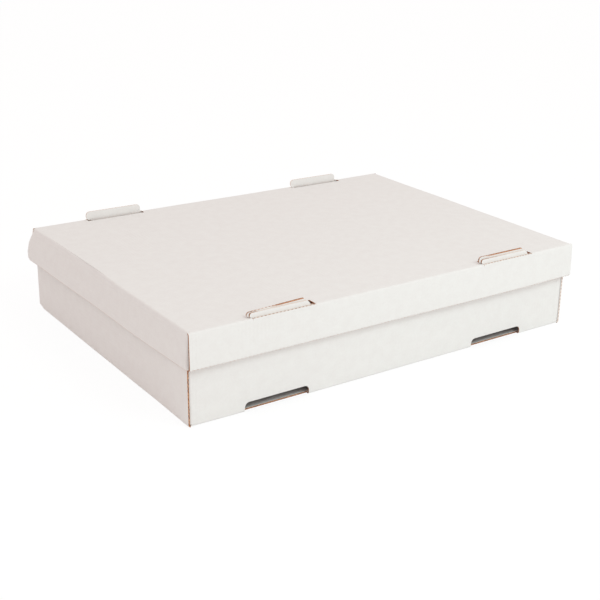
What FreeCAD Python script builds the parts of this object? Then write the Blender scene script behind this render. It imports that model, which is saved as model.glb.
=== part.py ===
# Pastry box of white corrugated card: a tray and a lift-off lid, each folded from one die-cut
# sheet. The lid's long walls are doubled at their lower edge, and the inner ply and the corner
# flap send two rounded ears up through each slot of the top panel, so that boxes stack. The
# tray's long walls have slots at the foot that take the ears of the box below.
#
# X runs along the box, Y from front to rear, Z up. The origin is the centre of the underside.

import FreeCAD, Part

import os
import re

SIZES = {
    # the board and how it folds
    "board": 1.5,                 # thickness of the corrugated board
    "bend_radius": 0.5,           # inside radius of every fold
    "ply_gap": 0.15,              # air between plies that lie against each other
    "end_gap": 0.6,               # air at the cut ends of plies and flaps
    # the lid
    "lid_length": 420.0,
    "lid_width": 305.0,
    "lid_skirt": 32.6,            # height of the lid's walls
    "box_height": 82.4,           # underside to top panel, without the ears
    "lid_flap_length": 122.0,     # corner flaps inside the lid's long walls
    "lid_ply_inset": 14.0,        # inner plies shorter than the lid at each end, for the flaps' ears
    # ears and their slots in the top panel
    "slot_inset": 86.5,           # slot's centre from the end of the lid
    "front_slot_shift": 1.7,      # and then this much further to the right
    "rear_slot_shift": -0.8,
    "ear_width": 56.2,            # where it stands in its slot
    "ear_hook": 4.8,              # the ear's head reaches this far over the panel, to the left
    "flap_ear_hook": 2.6,
    "front_ear_height": 6.5,      # inner ply's ears above the top panel, at the front
    "rear_ear_height": 8.5,       # the same at the rear
    "ear_step": 2.2,              # the flap's ear is lower by this
    "front_ear_corner": 3.0,      # radius of the corners of an ear's head
    "rear_ear_corner": 3.8,
    "flap_ear_corner": 1.9,
    "slot_play_left": 0.3,        # room between an ear's left side and its slot's end
    "slot_play_right": 4.6,
    "front_slot_play": 6.0,       # room behind the plies in a front slot
    "rear_slot_play": 2.2,
    # the tray, which fits inside the lid
    "side_play": 0.7,             # tray's end to the lid's end wall
    "wall_play": 0.4,             # tray's long wall to the lid's inner ply
    "rim_drop": 0.2,              # folded rims of the tray's ends below its long walls
    "tray_flap_length": 72.0,     # corner flaps inside the tray's end walls
    "tray_slot_length": 63.0,
    "tray_slot_shift": -1.5,      # tray's slots lie to the left by this
    "tray_slot_height": 8.5,
    "tray_slot_reach": 1.6,       # how far a slot runs on into the bottom, past the fold
    "slot_corner": 4.5,           # radius of the slot's upper corners
    # tabs that lock the tray's end walls into its bottom
    "lock_tab_length": 38.0,
    "lock_tab_spread": 150.0,     # between the centres of the two tabs of an end wall
    "lock_play": 0.3,
}

# Places that several pieces share, written once in terms of the sizes.
PLACES = {
    "bend": "(bend_radius + board)",                    # outside radius of a fold
    "half_length": "(lid_length / 2)",
    "half_width": "(lid_width / 2)",
    "flap_at": "(board + ply_gap)",                     # outer face of a wall to its flap
    "inner_at": "(2 * board + 2 * ply_gap)",            # and to its inner ply
    "wall_stack": "(3 * board + 2 * ply_gap)",
    "roll_inner": "((board + 2 * ply_gap) / 2)",        # radii of a rolled-over edge
    "roll_outer": "((board + 2 * ply_gap) / 2 + board)",
    "panel_under": "(box_height - board)",              # underside of the top panel
    "skirt_edge": "(box_height - lid_skirt)",
    "tray_half_length": "(lid_length / 2 - board - side_play)",
    "tray_half_width": "(lid_width / 2 - wall_stack - wall_play)",
    "rim": "(box_height - board - rim_drop)",
    "slot_length": "(ear_width + slot_play_left + slot_play_right)",
}

FRONT, REAR = -1, 1
LEFT, RIGHT = -1, 1
SIDE_NAMES = {FRONT: "front", REAR: "rear"}
END_NAMES = {LEFT: "left", RIGHT: "right"}
X, Y, Z = FreeCAD.Vector(1, 0, 0), FreeCAD.Vector(0, 1, 0), FreeCAD.Vector(0, 0, 1)

doc = FreeCAD.newDocument("pastry_box")
sheet = doc.addObject("Spreadsheet::Sheet", "Sizes")


def fill_sheet():
    """Put each driving size in a cell of its own, named by its alias."""
    for row, (name, value) in enumerate(SIZES.items(), start=1):
        sheet.set(f"A{row}", name)
        sheet.set(f"B{row}", str(value))
        sheet.setAlias(f"B{row}", name)
    doc.recompute()


def formula(text):
    """Spell out the places in a formula and point its sizes at the sheet."""
    word = re.compile(r"[a-z_]+")
    while any(name in PLACES for name in word.findall(text)):
        text = word.sub(lambda m: PLACES.get(m.group(), m.group()), text)
    return word.sub(lambda m: f"Sizes.{m.group()}", text)


def bind(thing, **properties):
    for name, text in properties.items():
        thing.setExpression(name.replace("_", "."), formula(text))
    return thing


def place(thing, x, y, z):
    for axis, text in zip("xyz", (x, y, z)):
        thing.setExpression(f"Placement.Base.{axis}", formula(text))
    return thing


def block(name, x, y, z):
    """A flat ply between a low and a high formula along each axis."""
    box = doc.addObject("Part::Box", name)
    spans = [f"({high}) - ({low})" for low, high in (x, y, z)]
    bind(box, Length=spans[0], Width=spans[1], Height=spans[2])
    return place(box, x[0], y[0], z[0])


def fold(name, start, length, sides, inner="bend_radius", outer="bend"):
    """A bent strip of board: a quarter of a tube between two directions, run along X, Y or Z."""
    first, second = sides
    along = first.cross(second)
    if along.x + along.y + along.z < 0:
        first, second, along = second, first, -along
    parts = []
    for suffix, radius in (("outside", outer), ("inside", inner)):
        tube = doc.addObject("Part::Cylinder", f"{name}_{suffix}")
        tube.Angle = 90
        turn = FreeCAD.Rotation(first, second, along, "ZXY")
        tube.Placement = FreeCAD.Placement(FreeCAD.Vector(), turn)
        bind(tube, Radius=radius, Height=length)
        parts.append(place(tube, *start))
    return cut(name, *parts)


def cut(name, base, tool):
    result = doc.addObject("Part::Cut", name)
    result.Base, result.Tool = base, tool
    return result


def fuse(name, parts):
    result = doc.addObject("Part::MultiFuse", name)
    result.Shapes = parts
    result.Refine = True
    return result


def both_ways(reach):
    return f"-({reach})", reach


def from_face(side, face, start, stop):
    """A span measured inwards from the outer face on one side of the middle."""
    near, far = f"{face} - ({stop})", f"{face} - ({start})"
    return (near, far) if side > 0 else (f"-({far})", f"-({near})")


def rounded(name, span, wall, foot, top, corner):
    """A tab, or a cutter, with two rounded upper corners, upright in a wall along X."""
    left, right = f"{span[0]} + {corner}", f"{span[1]} - {corner}"
    shoulder = f"{top} - {corner}"
    parts = [block(f"{name}_body", span, wall, (foot, shoulder)),
             block(f"{name}_crown", (left, right), wall, (foot, top))]
    for suffix, middle in (("left", left), ("right", right)):
        disc = doc.addObject("Part::Cylinder", f"{name}_{suffix}")
        disc.Placement = FreeCAD.Placement(FreeCAD.Vector(), FreeCAD.Rotation(X, -90))
        bind(disc, Radius=corner, Height=f"({wall[1]}) - ({wall[0]})")
        parts.append(place(disc, middle, wall[0], shoulder))
    return fuse(name, parts)


def slot_span(side, end):
    middle = f"{end} * (half_length - slot_inset) + {SIDE_NAMES[side]}_slot_shift"
    return f"{middle} - slot_length / 2", f"{middle} + slot_length / 2"


def ear(name, side, end, wall, foot, drop="0", hook="ear_hook", corner=None):
    """An ear on a ply: it passes its slot, and its rounded head hooks over the panel."""
    corner = corner or f"{SIDE_NAMES[side]}_ear_corner"
    top = f"box_height + {SIDE_NAMES[side]}_ear_height - {drop}"
    left = f"{slot_span(side, end)[0]} + slot_play_left"
    right, tip = f"{left} + ear_width", f"{left} - {hook}"
    under = "box_height + ply_gap"
    parts = [rounded(f"{name}_head", (tip, right), wall, f"{under} + {corner}", top, corner),
             block(f"{name}_neck", (left, right), wall, (foot, f"{under} + {corner}")),
             block(f"{name}_underside", (f"{tip} + {corner}", right), wall,
                   (under, f"{under} + {corner}"))]
    disc = doc.addObject("Part::Cylinder", f"{name}_hook")
    disc.Placement = FreeCAD.Placement(FreeCAD.Vector(), FreeCAD.Rotation(X, -90))
    bind(disc, Radius=corner, Height=f"({wall[1]}) - ({wall[0]})")
    parts.append(place(disc, f"{tip} + {corner}", wall[0], f"{under} + {corner}"))
    return fuse(name, parts)


def slotted_top():
    """The lid's top panel and the folds into its four walls, cut by the four slots."""
    parts = [block("top_panel", both_ways("half_length - bend"), both_ways("half_width - bend"),
                   ("panel_under", "box_height"))]
    cutters = []
    for side in (FRONT, REAR):
        name = SIDE_NAMES[side]
        start = ("-half_length", f"{side} * (half_width - bend)", "box_height - bend")
        parts.append(fold(f"lid_{name}_fold", start, "lid_length", (side * Y, Z)))
        play = "front_slot_play" if side == FRONT else "rear_slot_play"
        across = from_face(side, "half_width", "-board", f"wall_stack + {play}")
        for end in (LEFT, RIGHT):
            cutters.append(block(f"slot_{name}_{END_NAMES[end]}", slot_span(side, end), across,
                                 ("box_height - bend", "box_height + board")))
    for end in (LEFT, RIGHT):
        reach = "half_width - bend - ply_gap"
        start = (f"{end} * (half_length - bend)", f"-({reach})", "box_height - bend")
        parts.append(fold(f"lid_{END_NAMES[end]}_fold", start, f"2 * ({reach})", (end * X, Z)))
    return cut("slotted_top", fuse("top_blank", parts), fuse("top_slots", cutters))


def lid_long_wall(side):
    """Outer ply, rolled lower edge and inner ply, with the inner ply's two ears."""
    name = f"lid_{SIDE_NAMES[side]}"
    outer = from_face(side, "half_width", "0", "board")
    inner = from_face(side, "half_width", "inner_at", "wall_stack")
    roll_at = (f"{side} * (half_width - roll_outer)", "skirt_edge + roll_outer")
    roll_reach = "half_length - lid_ply_inset"
    parts = [
        block(f"{name}_outer_ply", both_ways("half_length"), outer,
              ("skirt_edge + roll_outer", "box_height - bend")),
        fold(f"{name}_roll_out", ("-half_length", *roll_at), "lid_length",
             (side * Y, -Z), "roll_inner", "roll_outer"),
        fold(f"{name}_roll_in", (f"-({roll_reach})", *roll_at), f"2 * ({roll_reach})",
             (-side * Y, -Z), "roll_inner", "roll_outer"),
        block(f"{name}_inner_ply", both_ways(roll_reach), inner,
              ("skirt_edge + roll_outer", "panel_under - ply_gap")),
    ]
    for end in (LEFT, RIGHT):
        place_name = f"{name}_{END_NAMES[end]}"
        parts.append(block(f"{place_name}_slot_edge", slot_span(side, end), outer,
                           ("box_height - bend", "box_height")))
        parts.append(ear(f"{place_name}_ear", side, end, inner, "panel_under - board"))
    return parts


def lid_end_wall(end):
    """Single ply with a corner flap at each side, whose ear shares the slot."""
    name = f"lid_{END_NAMES[end]}"
    flap_foot = "skirt_edge + roll_outer + ply_gap"
    heights = (flap_foot, "box_height - bend")
    parts = [block(f"{name}_wall", from_face(end, "half_length", "0", "board"),
                   both_ways("half_width - flap_at - bend"), ("skirt_edge", "box_height - bend"))]
    for side in (FRONT, REAR):
        corner = f"{name}_{SIDE_NAMES[side]}"
        start = (f"{end} * (half_length - bend)", f"{side} * (half_width - flap_at - bend)",
                 flap_foot)
        parts.append(fold(f"{corner}_fold", start, f"{heights[1]} - ({flap_foot})",
                          (end * X, side * Y)))
        across = from_face(side, "half_width", "flap_at", "flap_at + board")
        parts.append(block(f"{corner}_flap", from_face(end, "half_length", "bend",
                                                       "bend + lid_flap_length"), across, heights))
        parts.append(ear(f"{corner}_flap_ear", side, end, across, "box_height - bend - board",
                         "ear_step", "flap_ear_hook", "flap_ear_corner"))
    return parts


def make_lid():
    parts = [slotted_top()]
    for side in (FRONT, REAR):
        parts += lid_long_wall(side)
    for end in (LEFT, RIGHT):
        parts += lid_end_wall(end)
    return fuse("lid", parts)


def tab_span(side, play):
    middle = f"{side} * lock_tab_spread / 2"
    return (f"{middle} - lock_tab_length / 2 - {play}", f"{middle} + lock_tab_length / 2 + {play}")


def tray_bottom():
    """The bottom panel with the slots that take the end walls' locking tabs."""
    panel = block("bottom_panel", both_ways("tray_half_length - bend"),
                  both_ways("tray_half_width - bend"), ("0", "board"))
    cutters = []
    for end in (LEFT, RIGHT):
        across = from_face(end, "tray_half_length", "inner_at - lock_play",
                           "wall_stack + lock_play")
        for side in (FRONT, REAR):
            cutters.append(block(f"lock_slot_{SIDE_NAMES[side]}_{END_NAMES[end]}", across,
                                 tab_span(side, "lock_play"), ("-board", "2 * board")))
    return cut("locked_bottom", panel, fuse("lock_slots", cutters))


def tray_long_wall(side):
    """Single ply with a corner flap at each end, folded in behind the end wall."""
    name = f"tray_{SIDE_NAMES[side]}"
    reach = "tray_half_length - flap_at - bend"
    fold_reach = "tray_half_length - bend"
    edge = f"{side} * (tray_half_width - bend)"
    heights = ("bend + ply_gap", "rim - roll_outer - ply_gap")
    parts = [
        fold(f"{name}_fold", (f"-({fold_reach})", edge, "bend"), f"2 * ({fold_reach})",
             (side * Y, -Z)),
        block(f"{name}_wall", both_ways(reach), from_face(side, "tray_half_width", "0", "board"),
              ("bend", "panel_under")),
    ]
    for end in (LEFT, RIGHT):
        corner = f"{name}_{END_NAMES[end]}"
        parts.append(fold(f"{corner}_fold", (f"{end} * ({reach})", edge, heights[0]),
                          f"{heights[1]} - ({heights[0]})", (end * X, side * Y)))
        parts.append(block(f"{corner}_flap",
                           from_face(end, "tray_half_length", "flap_at", "flap_at + board"),
                           from_face(side, "tray_half_width", "bend", "bend + tray_flap_length"),
                           heights))
    return parts


def tray_end_wall(end):
    """Outer ply, rolled rim and inner ply, whose two tabs lock into the bottom."""
    name = f"tray_{END_NAMES[end]}"
    outer = from_face(end, "tray_half_length", "0", "board")
    inner = from_face(end, "tray_half_length", "inner_at", "wall_stack")
    roll_x, roll_z = f"{end} * (tray_half_length - roll_outer)", "rim - roll_outer"
    roll_reach = "tray_half_width - board - end_gap"
    parts = [
        fold(f"{name}_fold", (f"{end} * (tray_half_length - bend)", "-tray_half_width", "bend"),
             "2 * tray_half_width", (end * X, -Z)),
        block(f"{name}_outer_ply", outer, both_ways("tray_half_width"), ("bend", roll_z)),
        fold(f"{name}_roll_out", (roll_x, "-tray_half_width", roll_z), "2 * tray_half_width",
             (end * X, Z), "roll_inner", "roll_outer"),
        fold(f"{name}_roll_in", (roll_x, f"-({roll_reach})", roll_z), f"2 * ({roll_reach})",
             (-end * X, Z), "roll_inner", "roll_outer"),
        block(f"{name}_inner_ply", inner, both_ways("tray_half_width - bend - end_gap"),
              ("board + ply_gap", roll_z)),
    ]
    for side in (FRONT, REAR):
        parts.append(block(f"{name}_{SIDE_NAMES[side]}_tab", inner, tab_span(side, "0"),
                           ("ply_gap", "2 * board")))
    return parts


def tray_slots():
    """Cutters for the slots at the foot of the long walls, which run on into the bottom."""
    cutters = []
    for side in (FRONT, REAR):
        across = from_face(side, "tray_half_width", "-board", "bend + tray_slot_reach")
        for end in (LEFT, RIGHT):
            middle = f"{end} * (half_length - slot_inset) + tray_slot_shift"
            span = (f"{middle} - tray_slot_length / 2", f"{middle} + tray_slot_length / 2")
            cutters.append(rounded(f"tray_slot_{SIDE_NAMES[side]}_{END_NAMES[end]}", span, across,
                                   "-board", "tray_slot_height", "slot_corner"))
    return fuse("tray_slots", cutters)


def make_tray():
    parts = [tray_bottom()]
    for side in (FRONT, REAR):
        parts += tray_long_wall(side)
    for end in (LEFT, RIGHT):
        parts += tray_end_wall(end)
    return cut("tray", fuse("tray_blank", parts), tray_slots())


def check(nodes):
    """Stop if any object failed to build or a piece isn't one sound solid."""
    doc.recompute()
    failed = [thing.Name for thing in doc.Objects if {"Invalid", "Error"} & set(thing.State)]
    if failed:
        raise RuntimeError(f"failed: {failed}")
    for node in nodes:
        shape = node.Shape
        if shape.isNull() or not shape.isValid() or len(shape.Solids) != 1:
            raise RuntimeError(f"{node.Label} isn't one valid solid")
        box = shape.BoundBox
        print(node.Label, f"{shape.Volume / 1000:.1f} cm3", f"{shape.Area / 200:.0f} cm2 of board",
              f"{box.XLength:.1f} x {box.YLength:.1f} x {box.ZLength:.1f} mm")


def write(nodes):
    os.makedirs("parts", exist_ok=True)
    for node in nodes:
        node.Shape.exportStep(f"parts/{node.Label}.step")


fill_sheet()
pieces = [make_tray(), make_lid()]
check(pieces)
write(pieces)
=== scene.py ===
# %% [markdown]
# # A pastry box, cut flat and folded up
#
# The box is two sheets of corrugated card: a tray, and a lid that lifts off. Each is drawn here as
# the die-cutter would cut it, flat on the table, and then folded crease by crease. That keeps the
# board's thickness true round every bend, and it carries the flat sheet's coordinates along as a
# UV map, so that the flutes inside the board run the right way on every wall, flap and cut edge.
#
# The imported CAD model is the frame: it gives the outer sizes and how the lid moves.

import math

import bmesh
import bpy
from mathutils import Matrix, Vector, noise


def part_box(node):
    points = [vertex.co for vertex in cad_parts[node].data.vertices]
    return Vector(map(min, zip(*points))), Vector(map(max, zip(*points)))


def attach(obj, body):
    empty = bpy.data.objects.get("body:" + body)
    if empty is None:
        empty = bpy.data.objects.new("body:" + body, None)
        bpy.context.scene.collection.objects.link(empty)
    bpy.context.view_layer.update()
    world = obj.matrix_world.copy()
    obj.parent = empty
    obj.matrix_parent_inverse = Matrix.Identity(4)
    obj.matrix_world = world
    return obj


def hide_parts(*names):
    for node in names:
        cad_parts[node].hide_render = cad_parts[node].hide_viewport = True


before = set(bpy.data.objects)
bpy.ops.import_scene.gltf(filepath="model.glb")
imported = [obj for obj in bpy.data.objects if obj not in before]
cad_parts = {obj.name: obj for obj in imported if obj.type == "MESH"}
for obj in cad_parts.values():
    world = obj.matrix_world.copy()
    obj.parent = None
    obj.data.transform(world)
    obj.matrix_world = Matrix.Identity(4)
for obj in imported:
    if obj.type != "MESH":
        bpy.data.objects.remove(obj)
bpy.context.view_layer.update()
lid_low, lid_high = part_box("lid")
tray_low, tray_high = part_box("tray")
for name, size in (("lid", lid_high - lid_low), ("tray", tray_high - tray_low)):
    print(name, [round(1000 * length, 1) for length in size], "mm")

# %% [markdown]
# ## The board
#
# E-flute card is 1.5 mm thick: a white liner on each side of a brown fluted medium, with a flute
# about every 3.6 mm. Every fold is made round the same small radius, apart from the rolled edges,
# which turn round the flap or ply that they hold.

# %% Sizes of the board and its folds
MM = 0.001
BOARD = 1.5 * MM
PLY_GAP = 0.15 * MM
BEND = 0.5 * MM + BOARD                       # outside radius of a fold
ROLL = (BOARD + 2 * PLY_GAP) / 2 + BOARD      # outside radius of a rolled edge
FLUTE = 3.6 * MM
SLIT = 0.05 * MM                              # half the width of a cut between two panels

TOP = tray_high.z + BOARD                     # the lid's top panel lies on the tray's walls
BEND_LENGTH = (BEND - BOARD / 2) * math.pi / 2
ROLL_LENGTH = (ROLL - BOARD / 2) * math.pi
FRONT, REAR = -1, 1
LEFT, RIGHT = -1, 1
print(f"a fold takes {BEND_LENGTH / MM:.2f} mm of board, a rolled edge {ROLL_LENGTH / MM:.2f} mm")

# %% [markdown]
# ## Drawing on the flat sheet
#
# A blank is mostly rectangles, so each panel starts as a one-face grid. A tab is a rectangle with
# some of its corners rounded, which a vertex bevel does. Panels that touch are joined into one
# sheet by slicing all of them along every panel's edges, so that their corners meet, and merging
# the doubles.

# %% Panels, tabs and the joined sheet
def panel(sheet, x, y):
    """A rectangle of board from x[0] to x[1] and from y[0] to y[1]."""
    middle = Matrix.Translation(((x[0] + x[1]) / 2, (y[0] + y[1]) / 2, 0))
    size = Matrix.Diagonal((x[1] - x[0], y[1] - y[0], 1, 1))
    made = bmesh.ops.create_grid(sheet, x_segments=1, y_segments=1, size=0.5, matrix=middle @ size)
    return made["verts"]


def tab(sheet, x, y, radius, square):
    """A rectangle with rounded corners, apart from those that `square` picks by their place."""
    corners = [vert for vert in panel(sheet, x, y) if not square(vert.co)]
    bmesh.ops.bevel(sheet, geom=corners, offset=radius, offset_type="OFFSET", segments=6,
                    profile=0.5, affect="VERTICES", material=-1)


def slice_at(sheet, axis, stations, region=lambda place: True):
    """Cuts the faces of a region, or the whole sheet, across an axis at each station."""
    normal = Vector((1, 0, 0)) if axis == "x" else Vector((0, 1, 0))
    faces = [face for face in sheet.faces if region(face.calc_center_median())]
    edges = dict.fromkeys(edge for face in faces for edge in face.edges)
    verts = dict.fromkeys(vert for face in faces for vert in face.verts)
    pieces = [*faces, *edges, *verts]
    for station in stations:
        pieces = bmesh.ops.bisect_plane(sheet, geom=pieces, dist=1e-6,
                                        plane_co=normal * station, plane_no=normal)["geom"]


def spread(values):
    """The sorted distinct values of a list of coordinates."""
    return sorted({round(value, 7) for value in values})


def join_panels(sheet):
    slice_at(sheet, "x", spread(vert.co.x for vert in sheet.verts))
    slice_at(sheet, "y", spread(vert.co.y for vert in sheet.verts))
    bmesh.ops.remove_doubles(sheet, verts=sheet.verts, dist=2e-6)


# %% [markdown]
# ## Thickness and die-cut slots
#
# The joined sheet is solidified while it is still flat. The slots are then punched through it with
# boolean cutters, as a die would: plain bars for the lid's slots and notches, and bars with rounded
# corners for the slots at the tray's foot.

# %% Thickness and punching
def new_object(name, mesh_source):
    mesh = bpy.data.meshes.new(name)
    mesh_source.to_mesh(mesh)
    mesh_source.free()
    piece = bpy.data.objects.new(name, mesh)
    bpy.context.scene.collection.objects.link(piece)
    return piece


def thicken(sheet):
    """Gives the sheet its thickness, with the outer liner's face at z = 0."""
    bmesh.ops.recalc_face_normals(sheet, faces=sheet.faces)
    if sum(face.normal.z for face in sheet.faces) < 0:
        bmesh.ops.reverse_faces(sheet, faces=sheet.faces)
    bmesh.ops.solidify(sheet, geom=sheet.faces[:], thickness=BOARD)
    highest = max(vert.co.z for vert in sheet.verts)
    bmesh.ops.translate(sheet, verts=sheet.verts, vec=(0, 0, -highest))


def punch(sheet, die):
    """Takes the die's shapes out of the thick sheet and returns what is left."""
    blank, cutter = new_object("blank", sheet), new_object("die", die)
    cut = blank.modifiers.new("punch", "BOOLEAN")
    cut.operation, cut.solver, cut.object = "DIFFERENCE", "EXACT", cutter
    evaluated = blank.evaluated_get(bpy.context.evaluated_depsgraph_get())
    result = bmesh.new()
    result.from_mesh(evaluated.data)
    for piece in (blank, cutter):
        bpy.data.objects.remove(piece)
    return result


def die_bars(spans, radius=None):
    """Bars through the board for a list of (x span, y span). A radius rounds outer corners."""
    die = bmesh.new()
    for x, y in spans:
        if radius:
            middle = sum(y) / 2
            tab(die, x, y, radius, lambda place: abs(place.y) < abs(middle))
        else:
            panel(die, x, y)
    bmesh.ops.recalc_face_normals(die, faces=die.faces)
    grown = bmesh.ops.extrude_face_region(die, geom=die.faces[:])
    raised = [item for item in grown["geom"] if isinstance(item, bmesh.types.BMVert)]
    bmesh.ops.translate(die, verts=raised, vec=(0, 0, 4 * BOARD))
    bmesh.ops.translate(die, verts=die.verts, vec=(0, 0, -2.5 * BOARD))
    bmesh.ops.recalc_face_normals(die, faces=die.faces)
    return die


# %% [markdown]
# ## Creasing
#
# To fold, every point past the crease slides back by its share of the bend's length and turns
# about the bend's centre. Points inside the bend turn part of the way, so they form the arc, and
# points past it turn all the way. The outermost creases go first, while the rest is still flat.
# Each point's place on the flat sheet stays in a layer, because later creases still need it.

# %% The crease
def remember_flat(sheet):
    """Keeps each point's place on the flat sheet, and marks the cut edges of the board."""
    flat = sheet.verts.layers.float_vector.new("flat")
    depth = sheet.verts.layers.float.new("depth")
    for vert in sheet.verts:
        vert[flat] = vert.co
        vert[depth] = -vert.co.z / BOARD
    for face in sheet.faces:
        face.material_index = 1 if abs(face.normal.z) < 0.5 else 0
        face.smooth = face.material_index == 0
    for edge in sheet.edges:
        edge.smooth = len({face.material_index for face in edge.link_faces}) == 1
    return flat


def crease(sheet, flat, toward, start, radius, angle, part, beyond=lambda place: False):
    """Folds down what lies past a crease. `part` picks the points that the crease can move, and
    `beyond` those that it carries right round, wherever they lie."""
    toward = Vector(toward)
    length = (radius - BOARD / 2) * angle
    centre = toward * start + Vector((0, 0, -radius))
    axle = Vector((0, 0, 1)).cross(toward)
    for vert in sheet.verts:
        place = vert[flat]
        past = length if beyond(place) else min(place.dot(toward) - start, length)
        if past > 0 and part(place):
            turn = Matrix.Rotation(angle * past / length, 3, axle)
            vert.co = centre + turn @ (vert.co - toward * past - centre)


# %% [markdown]
# ## The lid's blank
#
# The top panel has an end wall at each end and a long wall at each side. A long wall carries on
# past its rolled lower edge as an inner ply, which ends in two rounded ears. Each end wall has a
# flap at both sides, and each flap has an ear on its upper edge. The inner plies are shorter than
# the lid, which leaves room on the sheet for the flaps' ears.

# %% Sizes of the lid
half_length, half_width = lid_high.x, lid_high.y
skirt_edge = lid_low.z
panel_x, panel_y = half_length - BEND, half_width - BEND      # where the top's folds start
wall_y = panel_y + BEND_LENGTH                                # where the long wall is straight
wall_height = (TOP - BEND) - (skirt_edge + ROLL)
roll_y = wall_y + wall_height
inner_y = roll_y + ROLL_LENGTH
inner_top = inner_y + (TOP - BOARD - PLY_GAP) - (skirt_edge + ROLL)
EAR_FOOT = inner_top + BOARD + PLY_GAP                        # where an ear passes the panel's face
INNER_INSET = 14 * MM

end_x = panel_x + BEND_LENGTH
end_edge = end_x + (TOP - BEND) - skirt_edge
flap_y = half_width - BOARD - PLY_GAP - BEND                  # where a flap's fold starts
flap_x = end_edge - ROLL - PLY_GAP
FLAP_LENGTH = 122 * MM

EAR_WIDTH, EAR_HOOK, FLAP_EAR_HOOK = 56.2 * MM, 4.8 * MM, 2.6 * MM
EAR_HEIGHT = {FRONT: 6.5 * MM, REAR: lid_high.z - TOP}
EAR_STEP = 2.2 * MM                                           # a flap's ear is lower by this
EAR_CORNER, FLAP_EAR_CORNER = {FRONT: 3 * MM, REAR: 3.8 * MM}, 1.9 * MM
SLOT_INSET, SLOT_SHIFT = 86.5 * MM, {FRONT: 1.7 * MM, REAR: -0.8 * MM}
SLOT_PLAY_LEFT, SLOT_PLAY_RIGHT = 0.3 * MM, 4.6 * MM
SLOT_PLAY = {FRONT: 6 * MM, REAR: 2.2 * MM}
slot_length = EAR_WIDTH + SLOT_PLAY_LEFT + SLOT_PLAY_RIGHT


def slot_span(side, end):
    middle = end * (half_length - SLOT_INSET) + SLOT_SHIFT[side]
    return middle - slot_length / 2, middle + slot_length / 2


def corner_of(place):
    """The side and the end of the box that a place belongs to."""
    return FRONT if place.y < 0 else REAR, LEFT if place.x < 0 else RIGHT


def across_flap(side, end, x):
    """The place across the flat sheet of the point of a flap that ends up at x along the lid."""
    return side * (flap_y + BEND_LENGTH + half_length - BEND) - side * end * x


def both(reach):
    return -reach, reach


def ordered(side, near, far):
    """A span on one side of the middle, lowest end first."""
    return (near, far) if side > 0 else (-far, -near)


print(f"the lid's walls are {(TOP - skirt_edge) / MM:.1f} mm high")


# %% Cutting the lid's blank
def lid_blank():
    sheet = bmesh.new()
    panel(sheet, both(panel_x), both(panel_y))
    for side in (FRONT, REAR):
        panel(sheet, both(half_length - SLIT), ordered(side, panel_y, roll_y + ROLL_LENGTH / 2))
        panel(sheet, both(half_length - INNER_INSET),
              ordered(side, roll_y + ROLL_LENGTH / 2, inner_top))
        upright = Matrix(((1, 0, 0, 0), (0, side, 0, side * EAR_FOOT), (0, 0, 1, 0), (0, 0, 0, 1)))
        for end in (LEFT, RIGHT):
            ear(sheet, side, end, inner_top - EAR_FOOT, EAR_HEIGHT[side], EAR_HOOK,
                EAR_CORNER[side], upright)
    for end in (LEFT, RIGHT):
        panel(sheet, ordered(end, panel_x, end_x), both(panel_y - PLY_GAP))
        panel(sheet, ordered(end, end_x, end_edge), both(flap_y))
        for side in (FRONT, REAR):
            lid_flap(sheet, end, side)
    join_panels(sheet)
    return sheet


def ear(sheet, side, end, foot, height, hook, radius, placing):
    """An ear, drawn with X along the lid and Y above its top panel, and then placed on its ply.
    Its head is rounded and hooks over the panel, to the left of the slot."""
    others = set(sheet.verts)
    left = slot_span(side, end)[0] + SLOT_PLAY_LEFT
    right = left + EAR_WIDTH
    panel(sheet, (left, right), (foot, PLY_GAP))
    tab(sheet, (left - hook, right), (PLY_GAP, height), radius,
        lambda place: place.x > left and place.y < 2 * PLY_GAP)
    own = [vert for vert in sheet.verts if vert not in others]
    bmesh.ops.transform(sheet, matrix=placing, verts=own)


def lid_flap(sheet, end, side):
    """A corner flap with its ear, which lies as far along the flap as its slot from the corner."""
    start = flap_y + BEND_LENGTH
    panel(sheet, ordered(end, end_x + SLIT, flap_x), ordered(side, start, start + FLAP_LENGTH))
    deep = end_edge if (end, side) == (LEFT, FRONT) else flap_x
    panel(sheet, ordered(end, end_x + SLIT, deep), ordered(side, flap_y, start))
    sideways = Matrix(((0, -end, 0, end * (end_x - BEND)),
                       (-side * end, 0, 0, across_flap(side, end, 0)),
                       (0, 0, 1, 0), (0, 0, 0, 1)))
    ear(sheet, side, end, -BEND - SLIT, EAR_HEIGHT[side] - EAR_STEP, FLAP_EAR_HOOK,
        FLAP_EAR_CORNER, sideways)


# %% [markdown]
# ## Slicing for the bends
#
# A bend needs cuts across it, or it would fold as a sharp edge. Each one gets a few slices. The
# flat panels get a coarse grid, so that they can take a slight warp, and the rolled edges get four
# slices to a flute, because crushed flutes stand out there as fine ridges.

# %% Slices
SCORES, SCORE_WIDTH = [3.4 * MM, 6.8 * MM], 0.9 * MM          # bruised lines beside a fold
FRAY = 0.4 * MM                                               # liner worn off along an edge
EAR_TIP = EAR_FOOT + EAR_HEIGHT[FRONT] - 0.9 * MM             # where an ear's bare top begins
BEND_STEPS, ROLL_STEPS, GRID = 5, 10, 9 * MM


def bend_slices(start, length, count):
    return [start + length * step / count for step in range(count + 1)]


def mirrored(stations):
    return spread([*stations, *(-station for station in stations)])


def even(reach, spacing):
    count = math.ceil(2 * reach / spacing)
    return [-reach + 2 * reach * step / count for step in range(1, count)]


def scored(start, inward):
    """Stations on and beside each score line, measured from a fold or an end."""
    return mirrored([start - inward * (line + step * SCORE_WIDTH)
                     for line in SCORES for step in (-1, 0, 1)])


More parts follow.
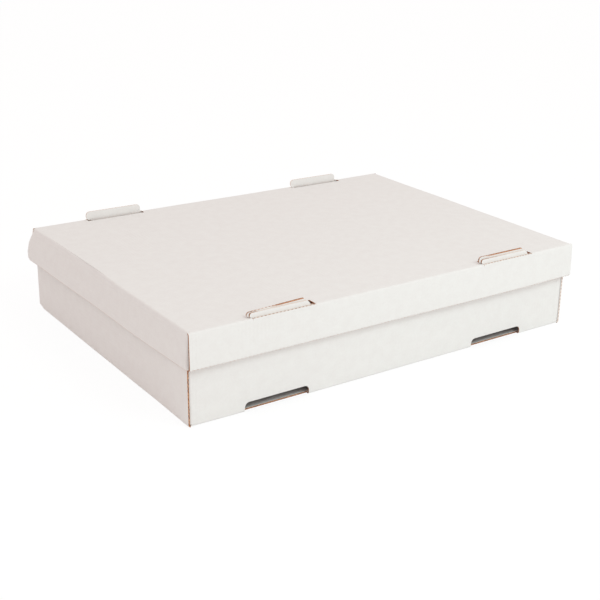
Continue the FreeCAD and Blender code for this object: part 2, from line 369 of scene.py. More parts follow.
def slice_lid(sheet):
    long_bends = (bend_slices(panel_y, BEND_LENGTH, BEND_STEPS)
                  + bend_slices(roll_y, ROLL_LENGTH, ROLL_STEPS))
    slice_at(sheet, "y", mirrored(long_bends))
    slice_at(sheet, "x", mirrored(bend_slices(panel_x, BEND_LENGTH, BEND_STEPS)))
    slice_at(sheet, "y", mirrored(bend_slices(flap_y, BEND_LENGTH, BEND_STEPS)),
             lambda place: abs(place.x) > end_x)
    slice_at(sheet, "x", even(end_edge, GRID))
    slice_at(sheet, "y", even(inner_top, GRID))
    slice_at(sheet, "x", scored(end_x, -1), lambda place: abs(place.x) > end_x)
    slice_at(sheet, "x", scored(half_length, 1), lambda place: wall_y < abs(place.y) < roll_y)
    slice_at(sheet, "x", mirrored([end_edge - FRAY]), lambda place: abs(place.x) > end_x)
    slice_at(sheet, "y", [-EAR_TIP, -EAR_TIP - FRAY], lambda place: place.y < -EAR_FOOT)
    near_roll = lambda place: roll_y - 3 * MM < abs(place.y) < inner_y and abs(place.x) < end_x
    slice_at(sheet, "x", even(half_length, FLUTE / 4), near_roll)


# %% [markdown]
# ## Punching and folding the lid
#
# Each long side has two slots in the top panel. Beside every ear a notch is cut in its ply and in
# its flap, so that the open end of a slot shows as a deep dark hole. Then the creases are made,
# the rolled edges and the flaps first, and the walls last.

# %% Folding the lid
NOTCH = 6 * MM


def lid_dies():
    """The four slots, a notch beside each ear in its ply and in its flap, and the slits that let
    the long wall's edge stand up straight in the slots."""
    slots, slits = [], []
    for side in (FRONT, REAR):
        reach = half_width - (3 * BOARD + 2 * PLY_GAP + SLOT_PLAY[side])
        for end in (LEFT, RIGHT):
            left, right = slot_span(side, end)
            slots.append(((left, right), ordered(side, reach, panel_y)))
            ear_right = right - SLOT_PLAY_RIGHT + SLIT
            notch = ear_right, right + NOTCH
            slots.append((notch, ordered(side, inner_top - NOTCH, EAR_FOOT)))
            across = sorted(across_flap(side, end, x) for x in notch)
            slots.append((ordered(end, end_x, end_x + NOTCH), across))
            for x in (left, right):
                slits.append(((x - SLIT, x + SLIT), ordered(side, panel_y - SLIT, wall_y)))
    return slots, slits


def on_stub(place):
    """The long wall's edge in a slot, which isn't bent over."""
    spans = [slot_span(corner_of(place)[0], end) for end in (LEFT, RIGHT)]
    in_slot = any(left < place.x < right for left, right in spans)
    return in_slot and panel_y - SLIT / 2 < abs(place.y) < wall_y


def on_long_wall(place):
    return abs(place.y) > panel_y - SLIT / 2 and abs(place.x) < half_length - 0.8 * SLIT


def on_flap_ear(place):
    return abs(place.y) > roll_y + ROLL_LENGTH and abs(place.x) > half_length - INNER_INSET + SLIT


def on_lid_flap(place):
    return on_flap_ear(place) or abs(place.x) > end_x + SLIT / 2 and abs(place.y) > flap_y


def fold_lid():
    sheet = lid_blank()
    thicken(sheet)
    for spans in lid_dies():
        sheet = punch(sheet, die_bars(spans))
    slice_lid(sheet)
    flat = remember_flat(sheet)
    long_wall = lambda place: on_long_wall(place) and not on_flap_ear(place)
    for side in (FRONT, REAR):
        crease(sheet, flat, (0, side, 0), roll_y, ROLL, math.pi, long_wall)
        crease(sheet, flat, (0, side, 0), flap_y, BEND, math.pi / 2, on_lid_flap)
        beside = lambda place: on_stub(place) and place.y * side > 0
        crease(sheet, flat, (0, side, 0), panel_y, BEND, math.pi / 2, long_wall, beside)
    for end in (LEFT, RIGHT):
        at_end = lambda place: on_flap_ear(place) and place.x * end > 0
        crease(sheet, flat, (end, 0, 0), panel_x, BEND, math.pi / 2,
               lambda place: at_end(place) or not long_wall(place), at_end)
    bmesh.ops.translate(sheet, verts=sheet.verts, vec=(0, 0, TOP))
    return sheet, flat


lid_sheet, lid_flat = fold_lid()
print(len(lid_sheet.faces), "faces in the lid")

# %% [markdown]
# ## How the card springs back
#
# Folded card never lies dead flat. A wall springs outwards at its lower edge, and most where a
# corner flap pushes against it. Here that is written as a shift by place: plies that lie together
# take the same shift, so they keep their distance. The rear left corner bellies out furthest, and
# at the front left corner the end wall stays back and leaves a wedge-shaped gap.

# %% The spring of the lid's walls
REAR_BELLY, REAR_LEAN, REAR_CORNER = 7.7 * MM, 1.2 * MM, 60 * MM
LEFT_BELLY, LEFT_CORNER, RIGHT_LEAN = 6.4 * MM, 30 * MM, 1.6 * MM
WEDGE = {LEFT: 3.1 * MM, RIGHT: 1.2 * MM}


def ramp(value, low, high):
    """0 below low, 1 above high, and smooth between."""
    share = min(max((value - low) / (high - low), 0), 1)
    return share * share * (3 - 2 * share)


def belly(drop):
    """A wall's spring from its top fold, at 0, to its lower edge, at 1, widest just above it."""
    return 0.85 * math.sin(math.pi / 2 * min(drop / 0.75, 1)) - 0.2 * ramp(drop, 0.88, 1.05)


def rear_left(x):
    """1 at the rear left corner, and 0 further along the rear wall."""
    return 1 - ramp(x, -half_length, -half_length + REAR_CORNER)


def long_wall_spring(x, side, drop):
    """How far a long wall stands out, and how much deeper it reaches."""
    if side == REAR:
        corner = rear_left(x)
        return REAR_BELLY * corner * belly(drop) + REAR_LEAN * (1 - corner) * drop, 0
    out = (1.5 + 1.0 * ramp(x, -20 * MM, 90 * MM) - 0.8 * ramp(x, 160 * MM, half_length)) * MM
    deeper = (-0.4 - 0.6 * (1 - ramp(x, -half_length, -160 * MM))
              - 0.2 * ramp(x, 100 * MM, half_length)) * MM
    return out * drop, deeper * drop


def end_wall_spring(y, end, drop):
    """How far an end wall stands out. The left one's fold is drawn in where it leans out most."""
    back = y + half_width
    if end == RIGHT:
        return RIGHT_LEAN * ramp(back, 0, 120 * MM) * drop
    corner = ramp(back, half_width * 2 - LEFT_CORNER, half_width * 2)
    lean = (2.2 * ramp(back, 0, 90 * MM) + 1.6 * ramp(back, 150 * MM, 280 * MM)) * MM
    drawn = (0.6 * ramp(y, -30 * MM, 10 * MM) * (1 - ramp(y, 100 * MM, half_width))
             + 0.8 * (ramp(y, -10 * MM, 35 * MM) - ramp(y, 35 * MM, 65 * MM))) * MM
    return (lean * drop - drawn * (1 - drop)) * (1 - corner) + LEFT_BELLY * corner * belly(drop)


def wedge(end, drop):
    """How far an end wall stays back from the front wall, which opens a gap at the corner."""
    return WEDGE[end] * math.sin(math.pi / 2 * min(drop / 0.7, 1))


def spring_lid(sheet, flat):
    for vert in sheet.verts:
        x, y, z = vert.co
        place = vert[flat]
        drop = min(max((TOP - BEND - z) / (TOP - BEND - skirt_edge), 0), 1)
        side, end = corner_of(vert.co)
        out, deeper = long_wall_spring(x, side, drop)
        if on_lid_flap(place):
            along = abs(place.y) - flap_y
            away = end_wall_spring(side * half_width, end, drop) * (1 - ramp(along, 0, 60 * MM))
            if side == FRONT:
                joined = ramp(along, 2 * MM, 40 * MM)
                out = out * joined - wedge(end, drop) * (1 - joined)
            vert.co += Vector((end * away, side * out, 0))
        elif abs(place.x) > panel_x and abs(place.y) <= flap_y:
            near = 1 - ramp(half_width - abs(y), 2 * MM, 40 * MM)
            out = -wedge(end, drop) if side == FRONT else out
            vert.co += Vector((end * end_wall_spring(y, end, drop), side * out * near, 0))
        elif abs(place.y) > panel_y:
            vert.co += Vector((0, side * out, -deeper))


spring_lid(lid_sheet, lid_flat)
rearmost = max(vert.co.y for vert in lid_sheet.verts)
print(f"the rear wall bellies out by {(rearmost - half_width) / MM:.1f} mm")

# %% [markdown]
# ## Ears that aren't cut alike
#
# Hand-folded boxes are cut on worn dies, and no two ears come out the same. A small shift of each
# ear's ends along the lid, written as a table, is enough to show it.

# %% Trimming the ears
EAR_TRIM = {(FRONT, LEFT): (0, -4.7 * MM), (FRONT, RIGHT): (0, -5.3 * MM),
            (REAR, LEFT): (3 * MM, 1 * MM), (REAR, RIGHT): (0, -1.2 * MM)}
FLAP_EAR_TRIM, FLAP_EAR_SLOPE = 0.5 * MM, 2 * MM              # at the right end, and more above
SLANT = 1.8 * MM                                              # how low one ear's left end is


def on_wide_flap(place):
    """The corner flap itself, below its ear."""
    return on_lid_flap(place) and not on_flap_ear(place)


def trim_ears(sheet, flat):
    """Moves the left and right ends of each ear, and lowers the front left one's left end."""
    for vert in sheet.verts:
        place, side_end = vert[flat], corner_of(vert.co)
        if abs(place.y) < inner_y or on_wide_flap(place):
            continue
        share = (vert.co.x - slot_span(*side_end)[0]) / EAR_WIDTH
        if not -0.15 < share < 1.05:
            continue
        risen = ramp(vert.co.z, TOP - 12 * MM, TOP - 2 * MM)
        if side_end[0] == FRONT and on_flap_ear(place):
            sloped = FLAP_EAR_SLOPE * ramp(vert.co.z, TOP, TOP + 4 * MM)
            vert.co.x -= (FLAP_EAR_TRIM + sloped) * share * risen
            continue
        move_left, move_right = EAR_TRIM[side_end]
        vert.co.x += (move_left * (1 - share) + move_right * share) * risen
        if side_end == (FRONT, LEFT) and vert.co.z > TOP:
            vert.co.z -= SLANT * (1 - share) * (vert.co.z - TOP) / EAR_HEIGHT[FRONT]


trim_ears(lid_sheet, lid_flat)
print(f"the ears reach {max(vert.co.z for vert in lid_sheet.verts) / MM:.1f} mm")

# %% [markdown]
# ## The tray's blank
#
# The tray is drawn and folded with its outer liner up, like the lid, and turned over at the end.
# Its long walls carry the corner flaps. Its end walls roll over the flaps at the rim and run down
# inside as an inner ply, whose two tabs lock into slots in the bottom.

# %% Sizes of the tray
tray_length, tray_width = tray_high.x, tray_high.y            # half of each
RIM_DROP, END_GAP = 0.2 * MM, 0.6 * MM
rim = tray_high.z - RIM_DROP
bottom_x, bottom_y = tray_length - BEND, tray_width - BEND
side_y = bottom_y + BEND_LENGTH
side_edge = side_y + tray_high.z - BEND
corner_x = tray_length - BOARD - PLY_GAP - BEND               # where a corner flap's fold starts
score_x = tray_length - 1.2 * MM                              # the scores start from here
CORNER_FLAP = 72 * MM
rise_x = bottom_x + BEND_LENGTH
rim_x = rise_x + (rim - ROLL) - BEND
down_x = rim_x + ROLL_LENGTH
foot_x = down_x + (rim - ROLL) - (BOARD + PLY_GAP)
TAB_LENGTH, TAB_SPREAD, TAB_PLAY = 38 * MM, 150 * MM, 0.3 * MM

TRAY_SLOT_LENGTH, TRAY_SLOT_SHIFT, TRAY_SLOT_HEIGHT = 63 * MM, -1.5 * MM, 8.5 * MM
TRAY_SLOT_REACH, TRAY_SLOT_CORNER = 1.6 * MM, 4.5 * MM
print(f"the tray's rolled rim is {rim / MM:.1f} mm high")


# %% Cutting and folding the tray
def tray_blank():
    sheet = bmesh.new()
    panel(sheet, both(bottom_x), both(bottom_y))
    for side in (FRONT, REAR):
        panel(sheet, both(bottom_x - 2 * SLIT), ordered(side, bottom_y, side_y))
        panel(sheet, both(corner_x), ordered(side, side_y, side_edge))
        heights = ordered(side, side_y + PLY_GAP, side_y + (rim - ROLL - PLY_GAP) - BEND)
        for end in (LEFT, RIGHT):
            reach = corner_x + BEND_LENGTH + CORNER_FLAP
            panel(sheet, ordered(end, corner_x, reach), heights)
    for end in (LEFT, RIGHT):
        panel(sheet, ordered(end, bottom_x, rim_x + ROLL_LENGTH / 2), both(tray_width))
        panel(sheet, ordered(end, rim_x + ROLL_LENGTH / 2, foot_x),
              both(tray_width - BEND - END_GAP))
        for side in (FRONT, REAR):
            panel(sheet, ordered(end, foot_x, foot_x + BOARD), tab_span(side, 0))
    join_panels(sheet)
    return sheet


def tab_span(side, play):
    middle = side * TAB_SPREAD / 2
    return middle - TAB_LENGTH / 2 - play, middle + TAB_LENGTH / 2 + play


def tray_dies():
    """The rounded slots at the foot of the long walls, and the locking slots."""
    feet, locks = [], []
    inner_face = tray_length - (3 * BOARD + 2 * PLY_GAP)
    top = side_y + TRAY_SLOT_HEIGHT - BEND
    for end in (LEFT, RIGHT):
        middle = end * (half_length - SLOT_INSET) + TRAY_SLOT_SHIFT
        span = middle - TRAY_SLOT_LENGTH / 2, middle + TRAY_SLOT_LENGTH / 2
        inward = ordered(end, inner_face - TAB_PLAY, inner_face + BOARD + TAB_PLAY)
        for side in (FRONT, REAR):
            feet.append((span, ordered(side, bottom_y - TRAY_SLOT_REACH, top)))
            locks.append((inward, tab_span(side, TAB_PLAY)))
    return die_bars(feet, TRAY_SLOT_CORNER), die_bars(locks)


def slice_tray(sheet):
    slice_at(sheet, "y", mirrored(bend_slices(bottom_y, BEND_LENGTH, BEND_STEPS)))
    slice_at(sheet, "x", mirrored(bend_slices(corner_x, BEND_LENGTH, BEND_STEPS)),
             lambda place: abs(place.y) > side_y)
    rise = (bend_slices(bottom_x, BEND_LENGTH, BEND_STEPS)
            + bend_slices(rim_x, ROLL_LENGTH, ROLL_STEPS))
    slice_at(sheet, "x", mirrored(rise), lambda place: abs(place.y) < tray_width)
    slice_at(sheet, "x", even(foot_x, GRID))
    slice_at(sheet, "y", even(side_edge, GRID))
    slice_at(sheet, "x", scored(score_x, 1), lambda place: abs(place.y) > side_y)


def on_side(place):
    return abs(place.y) > (bottom_y if abs(place.x) < bottom_x - SLIT else tray_width)


def on_corner_flap(place):
    return abs(place.y) > side_y + PLY_GAP / 2


def fold_tray():
    sheet = tray_blank()
    thicken(sheet)
    for die in tray_dies():
        sheet = punch(sheet, die)
    slice_tray(sheet)
    flat = remember_flat(sheet)
    on_end = lambda place: not on_side(place)
    for end in (LEFT, RIGHT):
        crease(sheet, flat, (end, 0, 0), corner_x, BEND, math.pi / 2, on_corner_flap)
        crease(sheet, flat, (end, 0, 0), rim_x, ROLL, math.pi, on_end)
        crease(sheet, flat, (end, 0, 0), bottom_x, BEND, math.pi / 2, on_end)
    for side in (FRONT, REAR):
        crease(sheet, flat, (0, side, 0), bottom_y, BEND, math.pi / 2, on_side)
    bmesh.ops.rotate(sheet, verts=sheet.verts, matrix=Matrix.Rotation(math.pi, 3, "X"))
    return sheet, flat


tray_sheet, tray_flat = fold_tray()
print(len(tray_sheet.faces), "faces in the tray")

# %% [markdown]
# ## The tray's own spring
#
# The tray gives way where the lid does. Its rear wall bellies out by the left corner, whose foot
# is rounded. The front wall leans back at that end, and its foot stands out a little elsewhere.

# %% The spring of the tray
TRAY_BELLY, FRONT_LEAN, FRONT_FOOT, ROUNDED_FOOT = 5.2, 1.2, 0.8, 2.4        # all in mm


def spring_tray(sheet):
    for vert in sheet.verts:
        x, y, z = vert.co
        foot = 1 - ramp(z, 0, 50 * MM)
        near_end = ramp(-x, 100 * MM, tray_length - 4 * MM)
        lean = 1.3 * ramp(z, 50 * MM, 72 * MM) * ramp(y, -30 * MM, 40 * MM)
        lean -= 0.5 * ramp(-y, 90 * MM, tray_width)
        belly_height = 1 - ramp(z, 45 * MM, 80 * MM)
        back = TRAY_BELLY * rear_left(x) * belly_height * ramp(y, 60 * MM, tray_width)
        near_front = ramp(-y, 60 * MM, tray_width - 4 * MM)
        corner = 1 - ramp(x, -tray_length, 50 * MM - tray_length)
        back += (FRONT_LEAN * (1 - foot) * corner - FRONT_FOOT * foot * (1 - corner)) * near_front
        from_corner = Vector((x + tray_length, y - tray_width, z)).length
        up = ROUNDED_FOOT * (1 - ramp(from_corner, 0, 8 * MM))
        vert.co += Vector((lean * near_end, back, up)) * MM


spring_tray(tray_sheet)
print(f"the tray reaches back to {max(vert.co.y for vert in tray_sheet.verts) / MM:.1f} mm")

# %% [markdown]
# ## Waves, scores and crushed flutes
#
# Three finer things make flat panels read as corrugated card. The panels are a little wavy. A
# score line runs beside a fold, where the press bar bruised the board. And where the board is
# rolled over tightly, its crushed flutes stand out as ridges, one to each flute.

# %% Waves and ridges
WAVE, CRUSH, SCORE_HEIGHT = 0.22 * MM, 0.22 * MM, 0.24 * MM
WAVE_LENGTH, WAVE_SEED = 70 * MM, 7


def wave(sheet):
    """The same slight waves for both sheets, by place, so that plies keep their distance. Where
    the lid lies on the tray's upper edge the two still cross by a hair, out of sight."""
    for vert in sheet.verts:
        drift = noise.noise_vector(vert.co / WAVE_LENGTH) * WAVE
        drift.z *= min(vert.co.z / (20 * MM), 1)
        vert.co += drift


def ridge(sheet, flat, measure, lines, height, width):
    """Raises the outer liner along lines, given a measure of each point's place."""
    sheet.normal_update()
    depth = sheet.verts.layers.float["depth"]
    lifts = []
    for vert in sheet.verts:
        at = measure(vert[flat])
        if at is not None and vert[depth] < 0.5:
            share = max(0, 1 - min(abs(at - line) for line in lines) / width)
            lifts.append((vert, vert.normal * height * share))
    for vert, lift in lifts:
        vert.co += lift


def crush(sheet, flat, start, length):
    """Ridges across a rolled edge, where the crushed flutes stand out."""
    sheet.normal_update()
    depth = sheet.verts.layers.float["depth"]
    lifts = []
    for vert in sheet.verts:
        place = vert[flat]
        along = (abs(place.y) - start) / length
        if -0.15 < along < 1 and vert[depth] < 0.5 and abs(place.x) < half_length:
            strength = CRUSH * ramp(along, -0.15, 0.3) * (1 - ramp(along, 0.7, 1))
            uneven = 0.7 + 0.6 * noise.noise(Vector((place.x / (15 * MM), place.y * 9, 0)))
            phase = math.cos(2 * math.pi * place.x / FLUTE)
            lifts.append((vert, vert.normal * strength * uneven * phase))
    for vert, lift in lifts:
        vert.co += lift


def beside_end_fold(place):
    return abs(place.x) - end_x if abs(place.y) < flap_y - 3 * MM else None


def beside_long_ends(place):
    return half_length - abs(place.x) if panel_y < abs(place.y) < roll_y else None


def beside_tray_corner(place):
    return score_x - abs(place.x) if abs(place.y) > side_y else None


ridge(lid_sheet, lid_flat, beside_end_fold, SCORES[:1], SCORE_HEIGHT, SCORE_WIDTH)
ridge(lid_sheet, lid_flat, beside_long_ends, SCORES, SCORE_HEIGHT / 2, SCORE_WIDTH)
ridge(tray_sheet, tray_flat, beside_tray_corner, SCORES, SCORE_HEIGHT, SCORE_WIDTH)
crush(lid_sheet, lid_flat, roll_y, ROLL_LENGTH)
noise.seed_set(WAVE_SEED)                                     # else each run waves differently
for sheet in (lid_sheet, tray_sheet):
    wave(sheet)
    print("highest point", round(max(vert.co.z for vert in sheet.verts) / MM, 2), "mm")

# %% [markdown]
# ## Shader maths
#
# Materials are easier to read as formulas than as a tangle of nodes. This small class wraps a
# socket, so that an expression such as `wave * 0.5 + 0.5` adds its own Math nodes, and `make`
# adds any other node from its type, its settings and its inputs.

# %% A socket that does arithmetic
class Value:
    def __init__(self, tree, socket):
        self.tree, self.socket = tree, socket

    def make(self, kind, settings=(), **inputs):
        """Adds a node: settings go on the node first, then values or links into its sockets."""
        node = self.tree.nodes.new(kind)
        for name, setting in dict(settings).items():
            setattr(node, name, setting)
        for name, entry in inputs.items():
            place = int(name[1:]) if name[1:].isdigit() else name.replace("_", " ")
            if isinstance(entry, Value):
                self.tree.links.new(entry.socket, node.inputs[place])
            else:
                node.inputs[place].default_value = entry
        return node

    def out(self, node, name=0):
        return Value(self.tree, node.outputs[name])

    def maths(self, operation, *entries):
        inputs = {f"i{at}": entry for at, entry in enumerate(entries)}
        return self.out(self.make("ShaderNodeMath", {"operation": operation}, **inputs))

    def __add__(self, other):
        return self.maths("ADD", self, other)

    def __radd__(self, other):
        return self.maths("ADD", other, self)

    def __sub__(self, other):
        return self.maths("SUBTRACT", self, other)

    def __rsub__(self, other):
        return self.maths("SUBTRACT", other, self)

    def __mul__(self, other):
        return self.maths("MULTIPLY", self, other)

    def cosine(self):
        return self.maths("COSINE", self)

    def size(self):
        return self.maths("ABSOLUTE", self)

    def step(self, low, high):
        """0 below low, 1 above high, and smooth between."""
        node = self.make("ShaderNodeMapRange", {"interpolation_type": "SMOOTHSTEP"},
                         i0=self, i1=low, i2=high)
        return self.out(node)

    def blend(self, first, second):
        """Mixes two colours by this value."""
        node = self.make("ShaderNodeMix", {"data_type": "RGBA"}, i0=self, i6=first, i7=second)
        return self.out(node, 2)


def new_material(name):
    material = bpy.data.materials.new(name)
    material.use_nodes = True
    tree = material.node_tree
    tree.nodes.clear()
    start = Value(tree, None)
    return material, start


def finish_material(start, **inputs):
    shader = start.make("ShaderNodeBsdfPrincipled", {}, **inputs)
    end = start.make("ShaderNodeOutputMaterial", {})
    start.tree.links.new(shader.outputs[0], end.inputs[0])


def srgb(red, green, blue):
    """A colour written as it looks on a screen, from 0 to 255, for a shader."""
    def linear(level):
        level /= 255
        return level / 12.92 if level <= 0.04045 else ((level + 0.055) / 1.055) ** 2.4
    return linear(red), linear(green), linear(blue), 1.0


# %% [markdown]
# ## White liner
#
# The liner is matt, slightly warm white paper. Up close it shows fibres, and a faint cloudiness
# where the brown medium shows through. Seen at a low angle the flutes print through as fine
# parallel lines. Those follow the flat sheet, so they come from the UV map, and the fibres come
# from noise on the same coordinates.

# %% The liner's material
PAPER_WHITE, PAPER_SHADE = srgb(238, 236, 234), srgb(235, 232, 230)
PAPER_FIBRE, BARE_MEDIUM_AND_SHADOW_LINE = srgb(228, 223, 218), srgb(196, 136, 98)
FIBRE_SIZE, MOTTLE_SIZE, CLOUD_SIZE = 0.5 * MM, 2.2 * MM, 9 * MM
LINER_RELIEF = 0.08 * MM


def noise_on(start, place, size, detail):
    return start.out(start.make("ShaderNodeTexNoise", {}, Vector=place, Scale=1 / size,
                                Detail=detail))


def flute_wave(start, sheet):
    """1 on a flute's crest and -1 between two, across the flutes of the flat sheet."""
    across = start.out(start.make("ShaderNodeSeparateXYZ", {}, i0=sheet))
    return (across * (2 * math.pi / FLUTE)).cosine()


def liner_material(name):
    material, start = new_material(name)
    sheet = start.out(start.make("ShaderNodeUVMap", {"uv_map": "flat"}))
    flutes = flute_wave(start, sheet)
    fibres = noise_on(start, sheet, FIBRE_SIZE, detail=4)
    clouds = noise_on(start, sheet, CLOUD_SIZE, detail=3)
    mottle = noise_on(start, sheet, MOTTLE_SIZE, detail=2)
    paper = (clouds * 0.6 + mottle * 0.4).step(0.3, 0.7).blend(PAPER_SHADE, PAPER_WHITE)
    specks = fibres.step(0.68, 0.8) * 0.35
    raw_and_shadow = start.out(start.make("ShaderNodeAttribute", {"attribute_name": "raw_and_shadow"}), "Fac")
    # Brown on the worn and cracked places of the liner; along the lid's rolled edge the same brown
    # is also a painted shadow line of the gap under the lid's edge.
    colour = raw_and_shadow.blend(specks.blend(paper, PAPER_FIBRE), BARE_MEDIUM_AND_SHADOW_LINE)
    relief = flutes * 0.35 + fibres * 0.5 + mottle * 0.25
    bump = start.out(start.make("ShaderNodeBump", {}, Strength=0.35, Distance=LINER_RELIEF,
                                Height=relief))
    roughness = 0.72 + mottle * 0.12
    finish_material(start, Base_Color=colour, Roughness=roughness, Normal=bump,
                    Specular_IOR_Level=0.3)
    return material


# %% [markdown]
# ## The board's cut edge
#
# A cut edge shows the section of the board: two thin white liners, and between them the medium's
# wave, brown, with its open hollows painted dark as shade. How far across the board a point lies is
# kept on it as `depth`, and how far along the wave comes from the UV map. On an edge that runs with
# the flutes the same formula gives one even stripe, as on the real board. A blunt knife pinches the
# liner over the edge, which then shows pale, with brown dashes at most: that is kept as
# `raw_and_shadow`.

# %% The cut edge's material
MEDIUM_BROWN, MEDIUM_LIGHT = srgb(206, 138, 92), srgb(224, 176, 140)
PAINTED_FLUTE_SHADE, LINER_EDGE = srgb(96, 48, 24), srgb(236, 224, 215)
WEAR_SIZE, EDGE_RELIEF = 1.2 * MM, 0.3 * MM


def edge_material(name):
    material, start = new_material(name)
    sheet = start.out(start.make("ShaderNodeUVMap", {"uv_map": "flat"}))
    flutes = flute_wave(start, sheet)
    depth = start.out(start.make("ShaderNodeAttribute", {"attribute_name": "depth"}), "Fac")
    rough = noise_on(start, sheet, WEAR_SIZE, detail=3)
    medium = flutes * 0.3 + 0.5 + (rough - 0.5) * 0.1
    from_medium = (depth - medium).size()
    from_middle = (depth - 0.5).size()
    # Painted shade: the open flutes between the medium's wave are coloured dark, as the shade
    # inside the hollows.
    medium_and_flute_shade = from_medium.step(0.1, 0.22).blend(MEDIUM_BROWN, PAINTED_FLUTE_SHADE)
    section = from_middle.step(0.38, 0.44).blend(medium_and_flute_shade, LINER_EDGE)
    worn = rough.step(0.5, 0.62) * 0.6
    raw_and_shadow = start.out(start.make("ShaderNodeAttribute", {"attribute_name": "raw_and_shadow"}), "Fac")
    dashes = raw_and_shadow + raw_and_shadow * (1 - raw_and_shadow) * 1.7 * flutes
    colour = dashes.blend(LINER_EDGE, worn.blend(section, MEDIUM_LIGHT))
    bump = start.out(start.make("ShaderNodeBump", {}, Strength=0.5, Distance=EDGE_RELIEF,
                                Height=1 - from_medium))
    finish_material(start, Base_Color=colour, Roughness=0.9, Normal=bump, Specular_IOR_Level=0.2)
    return material


# %% [markdown]
# ## The UV map, the worn places and a painted shadow line
#
# The place of each point on the flat sheet becomes the piece's UV map, in metres. How brown the
# board shows there is painted on every corner of every face as `raw_and_shadow`, because a liner
# and the cut edge beside it share their points but not their wear. Along the lid's rolled lower
# edges the same
# brown also stands for shade: a painted shadow line of the gap between the lid's edge and the tray.

# %% Dressing a sheet
CLEAN_CUT, HOOK_RAW, STUB_RAW, WORN_END, REAR_LEFT_RAW = 1, 0.9, 0.4, 0.5, 0.3
PINCHED_RAW = 0.2
EAR_RAW = {FRONT: 0.3, REAR: 0.1}
HOOK_LENGTH = 3.5 * MM                                        # bare round the ears' left corners
PATCH_LENGTH = 11 * MM                                        # of the stretches of the roll's cracked liner and painted shadow line


def unroll(sheet):
    """Writes each corner's place on the flat sheet to the UV map."""
    flat = sheet.verts.layers.float_vector["flat"]
    uv_map = sheet.loops.layers.uv.new("flat")
    for face in sheet.faces:
        for loop in face.loops:
            loop[uv_map].uv = loop.vert[flat].xy
    sheet.verts.layers.float_vector.remove(flat)


def lid_raw_and_shadow(place, cut):
    """How brown the lid shows at a place: 1 on a clean cut, less where the knife pinched the
    liner over it, and some on the liner itself where it has worn off. Along the rolled lower edge
    the stripe is partly cracked liner and partly painted shadow, of the gap under the lid's edge."""
    side, end = corner_of(place)
    left = slot_span(side, end)[0]
    hook_end = left + HOOK_LENGTH
    if on_flap_ear(place):
        along = side * end * (across_flap(side, end, 0) - place.y)
        return (HOOK_RAW if side == FRONT and along < hook_end else EAR_RAW[side]) * cut
    if abs(place.y) > EAR_FOOT:
        if side == FRONT and place.x < hook_end:
            return HOOK_RAW * cut
        if side == FRONT and (end == RIGHT or place.x > left + EAR_WIDTH / 3):
            return CLEAN_CUT if cut or -place.y > EAR_TIP + FRAY / 2 else 0
        return EAR_RAW[side] * cut
    if on_stub(place):
        return STUB_RAW * cut
    if cut:
        return REAR_LEFT_RAW if place.y > panel_y and end == LEFT else CLEAN_CUT
    # The rolled edge's stripe: partly cracked liner, partly a painted shadow line of the gap under
    # the lid's edge.
    round_edge = (abs(place.y) - roll_y) / ROLL_LENGTH
    patchy = 0.5 + 0.5 * noise.noise(Vector((place.x / PATCH_LENGTH, 0, 0)))
    crack_and_shadow_line = ramp(round_edge, 0.2, 0.3) * (1 - ramp(round_edge, 0.42, 0.5)) * patchy
    return max(crack_and_shadow_line, WORN_END if abs(place.x) > end_edge - FRAY / 2 else 0)


def tray_rawness(place, cut):
    """The right end wall's two upright edges are pinched, and the tray's others are clean cuts."""
    pinched = place.x > bottom_x and abs(place.y) > tray_width - SLIT
    return PINCHED_RAW * cut if pinched else cut


def paint_raw_and_shadow(sheet, raw_and_shadow_at):
    """Keeps on each face's corners how brown the board shows there."""
    flat = sheet.verts.layers.float_vector["flat"]
    raw_and_shadow = sheet.loops.layers.float.new("raw_and_shadow")
    # Holds wear and pinched cuts, and on the lid's rolled edges a painted shadow line as well.
    for face in sheet.faces:
        cut = face.material_index
        for loop in face.loops:
            loop[raw_and_shadow] = raw_and_shadow_at(loop.vert[flat], cut)


def dress(name, sheet, node, body, raw_and_shadow_at):
    paint_raw_and_shadow(sheet, raw_and_shadow_at)
    unroll(sheet)
    piece = new_object(name, sheet)
    for material in (liner_material(f"{body}_liner"), edge_material(f"{body}_cut_edge")):
        piece.data.materials.append(material)
    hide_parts(node)
    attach(piece, body)
    print(name, len(piece.data.polygons), "faces")


dress("lid_sheet", lid_sheet, "lid", "lid", lid_raw_and_shadow)
dress("tray_sheet", tray_sheet, "tray", "tray", tray_rawness)

# %% [markdown]
# ## Floor, light and camera
#
# The box is shown on white. The floor is a plain pale sheet that also gives off some light, which
# only the camera and reflections see, so that it reads as white while the box still leaves its
# soft shadow. The world does the same, and lights the box from all round with a weaker, warmer
# light. Two area lamps from the front right shape it.

# %% The floor
FLOOR_WHITE, FLOOR_GLOW, GLOW_SHARE = 0.92, 1.03, 0.88
WHITE = (1, 1, 1, 1)


def seen_rays(start):
    """1 for a ray from the camera, off a glossy surface or through a clear one, and otherwise 0."""
    ray = start.make("ShaderNodeLightPath", {})
    camera, glossy, clear = (start.out(ray, f"Is {kind} Ray")
                             for kind in ("Camera", "Glossy", "Transmission"))
    return camera.maths("MAXIMUM", camera, glossy.maths("MAXIMUM", glossy, clear))


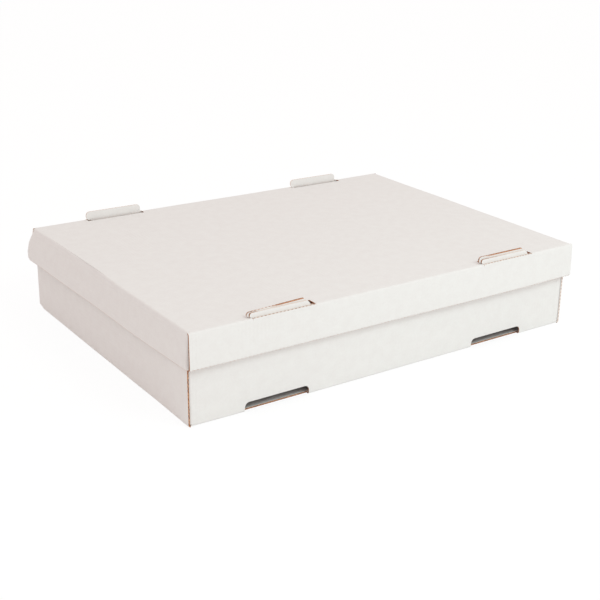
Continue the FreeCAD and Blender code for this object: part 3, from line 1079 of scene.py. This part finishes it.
def make_floor():
    surface = bmesh.new()
    bmesh.ops.create_grid(surface, x_segments=1, y_segments=1, size=4)
    floor = new_object("floor", surface)
    material, start = new_material("white_floor")
    matt = start.make("ShaderNodeBsdfDiffuse", {}, Color=(*[FLOOR_WHITE] * 3, 1))
    glow = start.make("ShaderNodeEmission", {}, Color=WHITE, Strength=FLOOR_GLOW)
    mix = start.make("ShaderNodeMixShader", {}, i0=seen_rays(start) * GLOW_SHARE)
    start.tree.links.new(matt.outputs[0], mix.inputs[1])
    start.tree.links.new(glow.outputs[0], mix.inputs[2])
    end = start.make("ShaderNodeOutputMaterial", {})
    start.tree.links.new(mix.outputs[0], end.inputs[0])
    floor.data.materials.append(material)
    print("floor", [round(size, 1) for size in floor.dimensions], "m")


make_floor()

# %% The world and the lamps
WORLD_LEVEL, WORLD_COLOUR = 0.83, (1.0, 0.92, 0.895, 1)


def make_world():
    world = bpy.data.worlds.new("studio")
    world.use_nodes = True
    tree = world.node_tree
    tree.nodes.clear()
    start = Value(tree, None)
    seen = seen_rays(start)
    strength = seen * (1 - WORLD_LEVEL) + WORLD_LEVEL
    colour = seen.blend(WORLD_COLOUR, WHITE)
    background = start.make("ShaderNodeBackground", {}, Color=colour, Strength=strength)
    end = start.make("ShaderNodeOutputWorld", {})
    tree.links.new(background.outputs[0], end.inputs[0])
    bpy.context.scene.world = world


def direction(azimuth, elevation):
    """Away from the box, by degrees round from its front and degrees above the floor."""
    turn, rise = math.radians(azimuth), math.radians(elevation)
    return Vector((math.sin(turn) * math.cos(rise), -math.cos(turn) * math.cos(rise),
                   math.sin(rise)))


def lamp(name, azimuth, elevation, distance, size, power, colour):
    """An area lamp, of a width and a height, that faces the middle of the box."""
    light = bpy.data.lights.new(name, "AREA")
    light.shape = "RECTANGLE"
    light.size, light.size_y, light.energy, light.color = *size, power, colour
    holder = bpy.data.objects.new(name, light)
    away = direction(azimuth, elevation)
    holder.location = Vector((0, 0, TOP / 2)) + away * distance
    holder.rotation_euler = away.to_track_quat("Z", "Y").to_euler()
    bpy.context.scene.collection.objects.link(holder)
    print(name, "lamp of", power, "W")


make_world()
lamp("key", 16, 44, 1.5, (0.5, 0.5), 5.0, (0.76, 1.0, 1.0))
lamp("low_front", 10, 6, 1.5, (1.2, 0.2), 0.9, (0.7, 1.0, 1.0))

# %% [markdown]
# ## The view
#
# The camera stands to the front left, a little above, and looks at a point low in the box. It is
# rolled by a degree and a half about its own axis, so that the box doesn't stand quite level.

# %% The camera
LENS, SENSOR = 65.5, 36                                       # both in mm
CAMERA_TARGET, CAMERA_DISTANCE = Vector((-5.1, -6.9, 19.6)) * MM, 1063.7 * MM
CAMERA_AZIMUTH, CAMERA_ELEVATION, CAMERA_ROLL = -35.33, 21.31, 1.52


def make_camera():
    camera = bpy.data.cameras.new("camera")
    camera.lens, camera.sensor_width = LENS, SENSOR
    holder = bpy.data.objects.new("camera", camera)
    away = direction(CAMERA_AZIMUTH, CAMERA_ELEVATION)
    level = away.to_track_quat("Z", "Y").to_matrix().to_4x4()
    roll = Matrix.Rotation(math.radians(CAMERA_ROLL), 4, "Z")
    stand = Matrix.Translation(CAMERA_TARGET + away * CAMERA_DISTANCE)
    holder.matrix_world = stand @ level @ roll
    bpy.context.scene.collection.objects.link(holder)
    bpy.context.scene.camera = holder
    print("camera at", [round(place, 3) for place in holder.matrix_world.translation], "m")


make_camera()
bpy.context.scene.view_settings.view_transform = "Standard"
